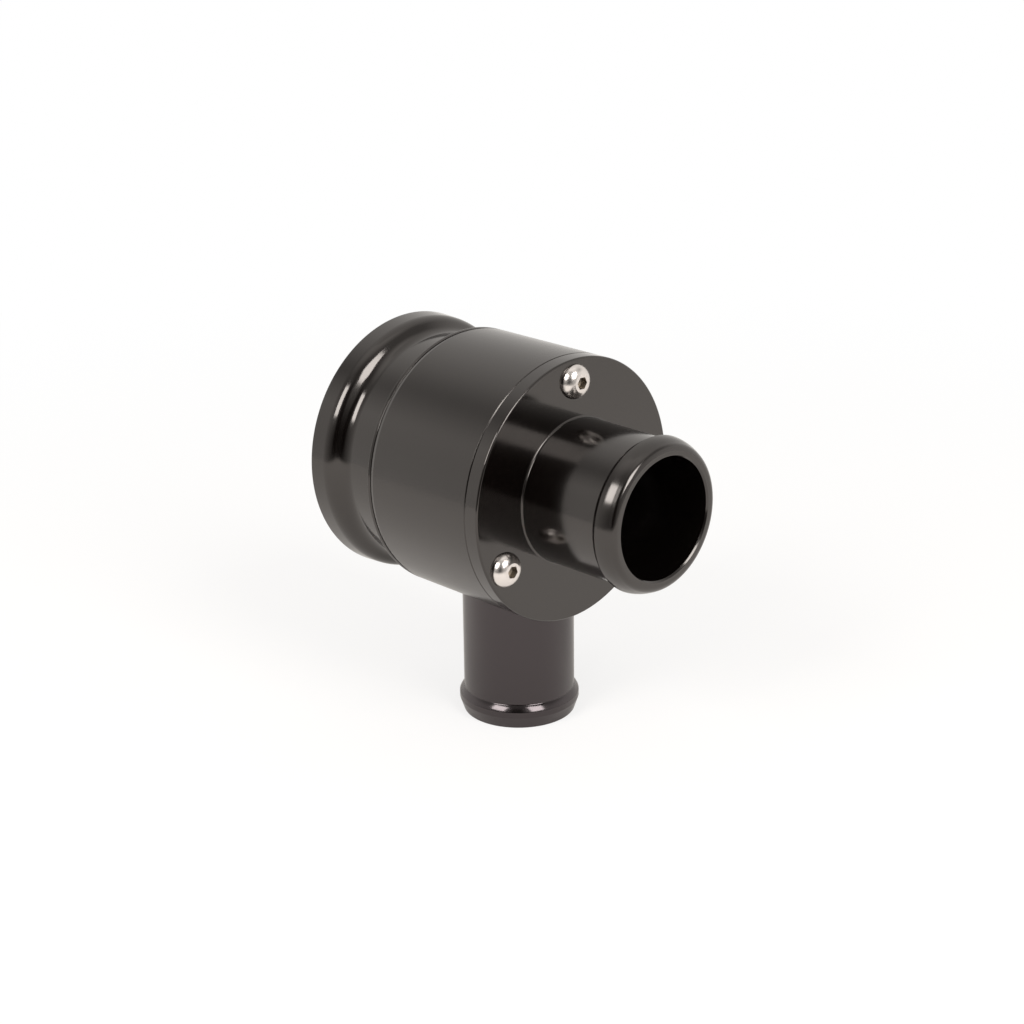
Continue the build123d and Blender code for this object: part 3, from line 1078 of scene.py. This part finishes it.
@dataclass
class RearCap(Part):
    """The screwed cap: plug, cylinder, fine gap, collar, neck, rounded rim and the nipple's seat."""

    plug_bore: float = 2.5 * MM
    thread_fit: float = 0.1 * MM
    thread_pitch: float = 1.0 * MM
    thread_depth: float = 0.5 * MM
    nose_wall: float = 1.4 * MM
    nose_length: float = 1.5 * MM
    cylinder_chamfer: float = 0.5 * MM
    gap: float = 0.04 * MM
    gap_depth: float = 2.1 * MM
    collar_length: float = 1.0 * MM
    collar_drop: float = 0.14 * MM
    collar_slope: float = 0.5 * MM
    collar_round: float = 0.4 * MM
    neck_step: float = 3.15 * MM
    neck_length: float = 10.32 * MM
    shoulder_length: float = 2.65 * MM
    shoulder_round: float = 3.5 * MM
    rim_slope: float = 0.25 * MM
    rim_chamfer: float = 0.45 * MM
    rim_round: float = 0.15 * MM
    rear_land: float = 6.5 * MM
    recess_depth: float = 1.0 * MM
    recess_round: float = 0.8 * MM
    nipple_hole: float = 4.05 * MM
    boss_radius: float = 7.5 * MM
    boss_height: float = 2.6 * MM
    boss_chamfer: float = 0.5 * MM

    def build(self) -> None:
        """Turns the cap."""
        m = self.measures
        thread = m.chamber + self.plug_bore - self.thread_fit
        thread_root = thread - self.thread_depth
        step = m.plug_end - self.nose_length
        root = m.body_radius - self.gap_depth
        neck = m.body_radius - self.neck_step
        front = m.body_rear - self.gap
        neck_front = front - self.collar_length
        neck_rear = neck_front - self.neck_length
        rim_front = neck_rear - self.shoulder_length
        recess = m.rim_radius - self.rear_land
        floor = m.cap_rear + self.recess_depth
        boss = m.cylinder_end + self.boss_height
        section = Section([
            (m.plug_end, m.chamber + self.cylinder_chamfer),
            (m.plug_end, m.chamber + self.nose_wall),
            (step, m.chamber + self.nose_wall),
            (step, thread_root),
            *ridges(step - self.thread_pitch / 2, m.body_rear, thread, thread_root, self.thread_pitch),
            (m.body_rear, thread_root),
            (m.body_rear, root),
            (front, root),
            (front, m.body_radius - self.collar_drop),
            (front - self.collar_slope, m.body_radius),
            (neck_front, m.body_radius, self.collar_round),
            (neck_front, neck),
            (neck_rear, neck, self.shoulder_round),
            (rim_front, m.rim_radius - self.rim_slope, self.shoulder_round),
            (m.cap_rear + self.rim_chamfer, m.rim_radius, self.rim_round),
            (m.cap_rear, m.rim_radius - self.rim_chamfer, self.rim_round),
            (m.cap_rear, recess),
            (floor, recess, self.recess_round),
            (floor, self.nipple_hole),
            (boss, self.nipple_hole),
            (boss, self.boss_radius - self.boss_chamfer),
            (boss - self.boss_chamfer, self.boss_radius),
            (m.cylinder_end, self.boss_radius),
            (m.cylinder_end, m.chamber),
            (m.plug_end - self.cylinder_chamfer, m.chamber),
        ], step_angle=4.0)
        piece = self.turned_along("rear_cap_turned", section, "cap")
        self.settle(piece, Slot.BLACK, "rear_cap")


@dataclass
class FaceScrews(ScrewedPart):
    """The three button head screws, one form placed on the screw circle."""

    plate_front: float
    head_radius: float = 3.8 * MM
    head_height: float = 2.2 * MM
    head_rim: float = 0.22 * MM
    rim_round: float = 0.05 * MM
    top_radius: float = 2.0 * MM
    top_round: float = 0.1 * MM
    crown_rise: float = 0.36 * MM
    crown_steps: int = 14
    shank: float = 2.0 * MM
    shank_root: float = 1.7 * MM
    tip_round: float = 0.2 * MM
    pitch: float = 0.7 * MM
    length: float = 10.0 * MM
    flats: float = 2.5 * MM
    socket_depth: float = 1.4 * MM
    socket_slack: float = 1.01
    land_inset: float = 0.12 * MM
    drill_depth: float = 0.35 * MM

    def build(self) -> None:
        """Turns one screw form, presses its socket and places it three times as one piece."""
        corner = self.flats / sqrt(3)
        top, rim = self.head_height, self.head_rim
        floor = top - self.socket_depth
        section = Section([
            (-self.length, 0.0),
            (-self.length, self.shank_root, self.tip_round),
            *ridges(-self.length + self.pitch / 2, -self.pitch, self.shank, self.shank_root, self.pitch),
            (0.0, self.shank_root),
            (0.0, self.head_radius),
            (rim, self.head_radius, self.rim_round),
            *arc_between((rim, self.head_radius), (top, self.top_radius), self.crown_rise, self.crown_steps),
            (top, self.top_radius, self.top_round),
            (top, corner + self.land_inset, 0.0),
            (top, corner, 0.0),
            (floor, corner, 0.0),
            (floor, self.flats / 2 - self.land_inset, 0.0),
            (floor - self.drill_depth, 0.0),
        ], closed=False)
        screws = []
        spots = self.circle.spots(self.measures.axis_height)
        for (y, z), turn in zip(spots, self.circle.socket_turns):
            screw = self.lathe.turn("screw", section, self.looks["screw"], 96, self.flats, radians(turn),
                                    (floor, top + self.land_inset))
            # Painted shade: the socket's faces take the darker finish.
            self._dress_socket(screw, corner, top)
            along_main(screw, 0.0).data.transform(Matrix.Translation((self.plate_front, y, z)))
            screws.append(screw)
        piece = joined("face_screws", screws)
        nodes = ("face_screw_top", "face_screw_left", "face_screw_right")
        self.settle(piece, Slot.STAINLESS, *nodes, angle=30.0)

    def _dress_socket(self, screw: Object, corner: float, top: float) -> None:
        """Gives the socket's walls and floor a duller finish whose dark colour is painted shade in the
        recess.

        Args:
            screw: The screw, still upright about Z.
            corner: The socket's radius over its corners.
            top: The head's top.
        """
        screw.data.materials.append(self.looks["socket"])
        for face in screw.data.polygons:
            inside = hypot(face.center.x, face.center.y) < self.socket_slack * corner
            if inside and 0 < face.center.z < top - self.land_inset:
                face.material_index = 1


def joined(name: str, pieces: list[Object]) -> Object:
    """Joins several pieces into one.

    Args:
        name: The new piece's name.
        pieces: The pieces, which are removed.

    Returns:
        The joined piece.
    """
    work = bmesh.new()
    for piece in pieces:
        work.from_mesh(piece.data)
    mesh = bpy.data.meshes.new(name)
    work.to_mesh(mesh)
    work.free()
    for material in pieces[0].data.materials:
        mesh.materials.append(material)
    for piece in pieces:
        bpy.data.objects.remove(piece)
    return linked(name, mesh)


@dataclass
class VacuumNipple(Part):
    """The nipple in the cap's centre: thread, hexagon and barbed tail."""

    thread: float = 4.0 * MM
    thread_root: float = 3.45 * MM
    pitch: float = 1.0 * MM
    bore: float = 1.5 * MM
    flats: float = 12.0 * MM
    hex_length: float = 4.5 * MM
    hex_chamfer: float = 0.3 * MM
    stem: float = 2.6 * MM
    stem_length: float = 4.0 * MM
    barb_height: float = 0.5 * MM
    barb_taper: float = 0.9 * MM
    barb_pitch: float = 3.6 * MM
    barb_count: int = 3
    sliver: float = 0.01 * MM

    def build(self) -> None:
        """Turns the nipple and presses its hexagon."""
        low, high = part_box("vacuum_nipple")
        tip, thread_end = low.x, high.x
        hex_rear = tip + self.barb_count * self.barb_pitch + self.stem_length
        hex_front = hex_rear + self.hex_length
        corner = self.flats / sqrt(3)
        top = self.stem + self.barb_height
        tail: list[Corner] = []
        for barb in range(self.barb_count):
            start, crest = tip + barb * self.barb_pitch, tip + (barb + 1) * self.barb_pitch
            foot = start + (self.sliver if barb else 0.0)
            tail += [(foot, top - self.barb_taper), (crest, top), (crest, self.stem)]
        section = Section([
            (tip, self.bore),
            *tail,
            (hex_rear, self.stem),
            (hex_rear, self.flats / 2),
            (hex_rear + self.hex_chamfer, corner, 0.0),
            (hex_front - self.hex_chamfer, corner, 0.0),
            (hex_front, self.flats / 2),
            (hex_front, self.thread_root),
            *ridges(hex_front + self.pitch / 2, thread_end, self.thread, self.thread_root, self.pitch),
            (thread_end, self.thread_root),
            (thread_end, self.bore),
        ])
        piece = self.turned_along("vacuum_nipple_turned", section, "brass", segments=192, flats=self.flats,
                                  hexed=(hex_rear - MM, hex_front + self.sliver))
        self.settle(piece, Slot.BRASS, "vacuum_nipple", angle=30.0)


@dataclass
class ReturnSpring(Part):
    """The piston's spring: a coil with closed, ground ends."""

    wire: float = 1.0 * MM
    coil: float = 10.85 * MM
    active_turns: int = 5
    end_pitch: float = 2.06 * MM
    spans_per_turn: int = 72
    wire_spans: int = 20

    @staticmethod
    def _tree() -> Group:
        """Builds the node group that winds a wire.

        Returns:
            The group.
        """
        t, given = Tree.group("wound_wire", "GeometryNodeTree", {
            "Blank": "Geometry", "Rear": 0.0, "Front": 0.0, "Height": 0.0, "Coil Radius": 0.01,
            "Wire Radius": 0.001, "Active Turns": 5.0, "End Pitch": 0.002, "Spans": 500, "Wire Spans": 20,
            "Finish": "Material",
        }, {"Form": "Geometry"})
        rear, front, coil, wire = given["Rear"], given["Front"], given["Coil Radius"], given["Wire Radius"]
        active, end_pitch = given["Active Turns"], given["End Pitch"]
        line = t.add("GeometryNodeCurvePrimitiveLine")
        fine = t.add("GeometryNodeResampleCurve", Curve=line.outputs[0], Count=given["Spans"])
        way = t.add("GeometryNodeSplineParameter").outputs["Factor"]
        turn = t.product(way, t.math("ADD", active, 2.0))
        angle = t.product(turn, 2 * pi)
        start = t.math("ADD", rear, t.product(wire, 0.5))
        end = t.math("SUBTRACT", front, t.product(wire, 0.5))
        room = t.math("SUBTRACT", t.math("SUBTRACT", end, start), t.product(end_pitch, 2.0))
        closed_rear = t.math("MINIMUM", turn, 1.0)
        closed_front = t.math("MAXIMUM", t.math("SUBTRACT", turn, t.math("ADD", active, 1.0)), 0.0)
        middle = t.math("SUBTRACT", t.math("SUBTRACT", turn, closed_rear), closed_front)
        ends = t.product(t.math("ADD", closed_rear, closed_front), end_pitch)
        gone = t.math("DIVIDE", t.product(middle, room), active)
        along = t.math("ADD", start, t.math("ADD", ends, gone))
        up = t.math("ADD", t.product(t.math("SINE", angle), coil), given["Height"])
        place = t.combined(along, t.product(t.math("COSINE", angle), coil), up)
        wound = t.add("GeometryNodeSetPosition", Geometry=fine.outputs[0], Position=place)
        circle = t.add("GeometryNodeCurvePrimitiveCircle", Resolution=given["Wire Spans"], Radius=wire)
        swept = t.add("GeometryNodeCurveToMesh", Curve=wound.outputs[0], Profile_Curve=circle.outputs[0],
                      Fill_Caps=True)
        x, y, z = t.split(t.add("GeometryNodeInputPosition").outputs[0])
        ground = t.combined(t.math("MINIMUM", t.math("MAXIMUM", x, rear), front), y, z)
        t.dressed(t.add("GeometryNodeSetPosition", Geometry=swept.outputs[0], Position=ground).outputs[0],
                  given["Finish"])
        return t.tree

    def build(self) -> None:
        """Winds the spring."""
        low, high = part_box("spring")
        settings = {
            "Rear": low.x, "Front": high.x, "Height": self.measures.axis_height,
            "Coil Radius": self.coil, "Wire Radius": self.wire, "Active Turns": float(self.active_turns),
            "End Pitch": self.end_pitch, "Spans": (self.active_turns + 2) * self.spans_per_turn + 1,
            "Wire Spans": self.wire_spans, "Finish": self.looks["spring"],
        }
        piece = baked("return_spring", linked_mesh("wire_blank", [], [], []), self._tree(), settings)
        self.settle(piece, Slot.SPRING, "spring", angle=40.0)
        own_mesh(piece)


FINISH_BY_NODE = {
    "piston": "piston",
    "piston_face_seal": "rubber",
    "piston_o_ring": "rubber",
    "flange_o_ring": "rubber",
    "outlet_o_ring": "rubber",
    "cap_o_ring": "rubber",
    "nipple_washer": "rubber",
    "front_guide_band": "band",
    "rear_guide_band": "band",
    "piston_spring_seat": "spring",
    "cap_spring_seat": "spring",
}


def dress_inner(looks: Looks) -> None:
    """Gives the frame nodes whose shape is right their finishes.

    Args:
        looks: The materials by finish name.
    """
    for node, finish in FINISH_BY_NODE.items():
        mesh = frame["nodes"][node].data
        mesh.materials.clear()
        mesh.materials.append(looks[finish])
        log.info("%s: finished as %s", node, finish)


def direction(azimuth: float, elevation: float) -> Vector:
    """The direction away from the object, in degrees; azimuth 0 is towards -Y and 90 towards +X."""
    a, e = radians(azimuth), radians(elevation)
    return Vector((sin(a) * cos(e), -cos(a) * cos(e), sin(e)))


@dataclass(frozen=True)
class Softbox:
    """A soft rectangular light, placed by the direction that it shines from."""

    name: str
    azimuth: float
    elevation: float
    width: float
    height: float
    radiance: float = 9.6
    distance: float = 1.0
    warmth: tuple[float, float, float] = (1.0, 0.97, 0.94)

    def place(self, target: Vector) -> None:
        """Makes the lamp and turns it to the object.

        Args:
            target: The point that it looks at.
        """
        light = bpy.data.lights.new(self.name, "AREA")
        light.shape = "RECTANGLE"
        light.size, light.size_y = self.width, self.height
        light.energy = self.radiance * pi * self.width * self.height
        light.color = self.warmth
        lamp = linked(self.name, light)
        away = direction(self.azimuth, self.elevation)
        lamp.location = target + away * self.distance
        lamp.rotation_mode = "QUATERNION"
        lamp.rotation_quaternion = (-away).to_track_quat("-Z", "Y")


@dataclass
class Studio:
    """White sweep, soft lights and the camera of the photograph; marks are (degrees, level) pairs."""

    height: float
    azimuth: float = 45.51
    elevation: float = 20.39
    roll: float = -0.73
    eye: tuple[float, float, float] = (0.312386, -0.308513, 0.210013)
    lens: float = 74.44
    sensor: float = 36.0
    nearest: float = 0.01
    farthest: float = 50.0
    floor_half: float = 4.0
    paper: RGBA = (0.9, 0.885, 0.87, 1.0)
    white: RGBA = (1.0, 1.0, 1.0, 1.0)
    room: RGBA = (1.0, 0.965, 0.925, 1.0)
    fill: float = 0.6
    photographer: float = 40.0
    table_reach: float = 0.33
    table_fade: float = 0.1
    shadow_reach: Pair = (0.04, 0.4)
    shadow_glow: float = 0.74
    softboxes: tuple[Softbox, ...] = (
        Softbox("left_softbox", 1.5, 36.7, 0.425, 0.425),
        Softbox("right_softbox", 81.0, 36.6, 0.41, 0.52),
    )
    walls: Marks = (
        (-10, 1.08), (25, 1.06), (34, 0.76), (42, 0.45), (52, 0.5), (60, 0.8), (68, 1.05),
        (78, 1.2), (90, 1.25),
    )
    front: Marks = (
        (-10, 0.02), (9, 0.03), (16, 0.12), (23, 0.27), (30, 0.42), (37, 0.48), (46, 0.42), (52, 0.26),
        (60, 0.28), (68, 0.5), (76, 0.95), (90, 1.25),
    )
    sideways: Marks = ((8, 0.0), (52, 0.5), (95, 1.0))
    backwards: Marks = ((108, 0.0), (132, 0.75), (150, 1.0))
    back_wall: float = 0.95
    figure: Marks = ((10, 0.85), (18, 0.0))
    figure_top: Marks = ((42, 1.0), (52, 0.0))

    def build(self) -> None:
        """Sets the world, the floor, the lamps and the camera."""
        self._world()
        self._floor()
        for softbox in self.softboxes:
            softbox.place(Vector((0.0, 0.0, self.height)))
        self._camera()

    def _world(self) -> None:
        """White to the eye; in reflections a room with a pale ceiling, grey corners and a dark front."""
        world = bpy.data.worlds.new("studio")
        world.use_nodes = True
        t = Tree(world.node_tree)
        rays = t.add("ShaderNodeLightPath")
        x, y, z = t.split(t.add("ShaderNodeTexCoord").outputs["Generated"])
        height = t.math("ARCSINE", z)
        off = self._off_front(t, x, y)
        front = self._level(t, height, self.front)
        aside = t.math("SUBTRACT", self._level(t, height, self.walls), front)
        seen = t.math("ADD", front, t.product(aside, self._level(t, off, self.sideways)))
        figure = t.product(self._level(t, off, self.figure), self._level(t, height, self.figure_top))
        seen = t.product(seen, t.math("SUBTRACT", 1.0, figure))
        lift = t.product(t.math("SUBTRACT", self.back_wall, seen), self._level(t, off, self.backwards))
        sky = t.add("ShaderNodeBackground", Color=self.room, Strength=self.fill)
        mirror = t.add("ShaderNodeBackground", Color=self.room, Strength=t.math("ADD", seen, lift))
        plain = t.add("ShaderNodeBackground", Color=self.white, Strength=1.0)
        shiny = t.shaders(rays.outputs["Is Glossy Ray"], sky.outputs[0], mirror.outputs[0])
        final = t.shaders(rays.outputs["Is Camera Ray"], shiny, plain.outputs[0])
        t.add("ShaderNodeOutputWorld", Surface=final)
        bpy.context.scene.world = world

    @staticmethod
    def _level(t: Tree, angle: Socket, marks: Marks) -> Socket:
        """A level that changes with an angle in straight steps.

        Args:
            t: The tree being filled.
            angle: The socket with the angle in radians.
            marks: Angles in degrees with the level at each, in rising order.

        Returns:
            The socket with the level.
        """
        level: Socket | float = marks[0][1]
        for (low, before), (high, after) in zip(marks, marks[1:]):
            level = t.math("ADD", level, t.span(angle, radians(low), radians(high), 0.0, after - before))
        return level

    def _off_front(self, t: Tree, x: Socket, y: Socket) -> Socket:
        """How far round a direction is from the photographer.

        Args:
            t: The tree being filled.
            x: The direction's X part.
            y: The direction's Y part.

        Returns:
            The socket with the angle in radians, 0 to pi.
        """
        azimuth = t.math("ARCTAN2", x, t.product(y, -1.0))
        turned = t.math("SUBTRACT", azimuth, radians(self.photographer))
        return t.math("ABSOLUTE", t.math("WRAP", turned, pi, -pi))

    def _floor(self) -> None:
        """A white table that keeps a faint shadow and ends towards the photographer."""
        half = self.floor_half
        corners = [(-half, -half, 0), (half, -half, 0), (half, half, 0), (-half, half, 0)]
        floor = linked_mesh("table_top", corners, [], [(0, 1, 2, 3)])
        material, t = new_material("white_table")
        rays = t.add("ShaderNodeLightPath")
        where = t.objects()
        x, y, _ = t.split(where)
        reach = t.vector("LENGTH", where)
        paper = t.add("ShaderNodeBsdfDiffuse", Color=self.paper)
        glow = t.add("ShaderNodeEmission", Color=self.white, Strength=1.0)
        lit = t.span(reach, *self.shadow_reach, self.shadow_glow, 1.0, "SMOOTHSTEP")
        seen = t.shaders(t.product(rays.outputs["Is Camera Ray"], lit), paper.outputs[0], glow.outputs[0])
        edge, fade = self.table_reach, self.table_fade
        far = t.span(reach, edge * (1 - fade), edge * (1 + fade), 0.0, 1.0, "SMOOTHSTEP")
        dark, pale = self.front[0][1], self.walls[0][1]
        share = self._level(t, self._off_front(t, x, y), self.sideways)
        level = t.math("ADD", t.product(share, pale - dark), dark)
        room = t.add("ShaderNodeEmission", Color=self.room, Strength=level)
        mixed = t.shaders(t.product(rays.outputs["Is Glossy Ray"], far), seen, room.outputs[0])
        t.add("ShaderNodeOutputMaterial", Surface=mixed)
        floor.data.materials.append(material)

    def _camera(self) -> None:
        """The photograph's viewpoint, lens and slight roll."""
        data = bpy.data.cameras.new("camera")
        data.lens, data.sensor_width = self.lens, self.sensor
        data.clip_start, data.clip_end = self.nearest, self.farthest
        camera = linked("camera", data)
        back = direction(self.azimuth, self.elevation)
        right = (-back).cross(Vector((0, 0, 1))).normalized()
        up = back.cross(right)
        turn = radians(self.roll)
        across = right * cos(turn) + up * sin(turn)
        upright = up * cos(turn) - right * sin(turn)
        pose = Matrix((across, upright, back)).transposed().to_4x4()
        camera.matrix_world = Matrix.Translation(self.eye) @ pose
        bpy.context.scene.camera = camera


def main() -> None:
    """Builds every sub-assembly and the studio."""
    logging.basicConfig(level=logging.INFO, format="%(message)s")
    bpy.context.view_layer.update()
    measures = Measures.read()
    shared = Shared(measures.axis_height)
    looks = {name: finish.material(shared) for name, finish in FINISHES.items()}
    common = (measures, Lathe(), looks)
    screw_land = 4.4 * MM
    circle = ScrewCircle(measures.chamber + screw_land)
    flange = InletFlange(*common, circle)
    Drum(*common, circle).build()
    flange.build()
    OutletSpigot(*common).build()
    RearCap(*common).build()
    FaceScrews(*common, circle, flange.plate_front()).build()
    VacuumNipple(*common).build()
    ReturnSpring(*common).build()
    dress_inner(looks)
    Studio(measures.axis_height).build()
    bpy.context.scene.view_settings.view_transform = "Standard"


if __name__ == "__main__":
    main()
